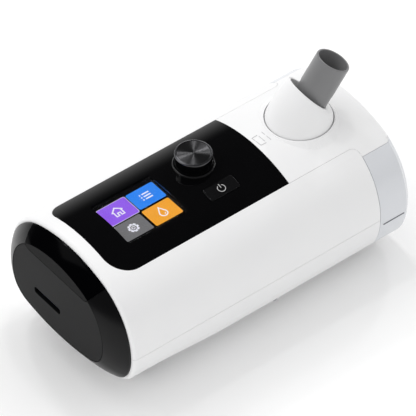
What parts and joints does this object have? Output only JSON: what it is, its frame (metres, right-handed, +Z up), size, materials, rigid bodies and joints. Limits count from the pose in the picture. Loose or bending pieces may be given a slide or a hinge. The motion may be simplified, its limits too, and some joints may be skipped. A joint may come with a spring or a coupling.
{
  "type": "bilevel pap machine",
  "caption": "Bedside breathing therapy machine with a black control panel, turning knob, domed end cap, swivelling air outlet and a water tank that slides out of the end.",
  "frame": {"origin": "middle of the footprint at the feet", "axes": "+X towards the water tank, -Y towards the side seen in front, +Z up"},
  "size_m": [0.2252, 0.1218, 0.1383],
  "materials": {
    "white_shell": "satin moulded",
    "white_inner": "matt moulded",
    "gloss_black": "high gloss",
    "satin_black": "satin moulded",
    "knob_disc": "radially brushed, dark anodised",
    "lens": "polished",
    "display": "lit panel",
    "tank_clear": "tinted translucent",
    "grey_tube": "satin moulded",
    "rubber": "matt",
    "silicone": "satin",
    "steel": "brushed",
    "aluminium": "spun",
    "brass": "turned",
    "board": "solder mask",
    "parts": "moulded",
    "foam": "open cell",
    "filter": "fibre mat",
    "card": "satin moulded"
  },
  "bodies": {
    "base": {"base_shell": "white_shell", "upper_shell": "white_shell", "deck_cover": "white_shell", "tank_bay": "white_inner", "control_panel": "gloss_black", "display_lens": "lens", "display_module": "display", "knob_base_ring": "gloss_black", "encoder_body": "parts", "power_switch": "parts", "key_board": "board", "end_cap_frame": "satin_black", "end_cap_insert": "gloss_black", "end_cap_panel": "satin_black", "card_socket": "steel", "main_board": "board", "board_parts": "parts", "dc_jack": "satin_black", "blower_mounts": "rubber", "volute_lower": "white_inner", "volute_upper": "white_inner", "motor_can": "steel", "motor_bearings": "steel", "filter_frame": "satin_black", "inlet_filter": "filter", "muffler_foam": "foam", "air_duct": "white_inner", "inlet_seal": "silicone", "outlet_seal": "silicone", "heater_spring": "steel", "feet": "rubber", "case_screws": "steel", "board_screws": "steel"},
    "heater": {"heater_plate": "aluminium"},
    "tank": {"tank_body": "tank_clear", "tank_lid": "tank_clear", "lid_seal": "silicone", "tank_heat_plate": "steel", "lid_hinge_pin": "steel"},
    "click": {"encoder_slider": "brass"},
    "knob": {"knob_cap": "gloss_black", "knob_top_disc": "knob_disc", "encoder_shaft": "steel"},
    "button": {"power_button": "gloss_black"},
    "swivel": {"swivel_cone": "white_shell", "swivel_retainer": "grey_tube", "swivel_o_ring": "rubber", "connector_tube": "grey_tube"},
    "rotor": {"impeller": "white_inner", "motor_shaft": "steel"},
    "card": {"memory_card": "card"},
    "inlet_cover": {"filter_cover": "white_shell"}
  },
  "joints": [
    {"name": "knob_press", "type": "slide", "parent": "base", "child": "click", "axis": [0, 0, -1], "range_m": [0, 0.0005], "stiffness_N_per_m": 1000, "springref_m": -0.001},
    {"name": "knob_turn", "type": "hinge", "parent": "click", "child": "knob", "pos_m": [-0.0031, 0.0076, 0.1], "axis": [0, 0, 1], "continuous": true},
    {"name": "power_button_press", "type": "slide", "parent": "base", "child": "button", "axis": [0, 0.1989, -0.98], "range_m": [0, 0.0004], "stiffness_N_per_m": 600, "springref_m": -0.001},
    {"name": "outlet_swivel", "type": "hinge", "parent": "base", "child": "swivel", "pos_m": [0.0723, 0, 0.0941], "axis": [0, 0, 1], "continuous": true},
    {"name": "tank_slide", "type": "slide", "parent": "base", "child": "tank", "axis": [1, 0, 0], "range_m": [0, 0.09]},
    {"name": "heater_float", "type": "slide", "parent": "base", "child": "heater", "axis": [0, 0, -1], "range_m": [0, 0.0015], "stiffness_N_per_m": 2000, "springref_m": -0.002, "deforming": ["heater_spring"]},
    {"name": "rotor_spin", "type": "hinge", "parent": "base", "child": "rotor", "pos_m": [-0.05, 0.004, 0.03], "axis": [0, 0, 1], "continuous": true},
    {"name": "card_slide", "type": "slide", "parent": "base", "child": "card", "axis": [-1, 0, 0], "range_m": [0, 0.024]},
    {"name": "inlet_cover_pull", "type": "slide", "parent": "base", "child": "inlet_cover", "axis": [0, 1, 0], "range_m": [0, 0.03]}
  ]
}
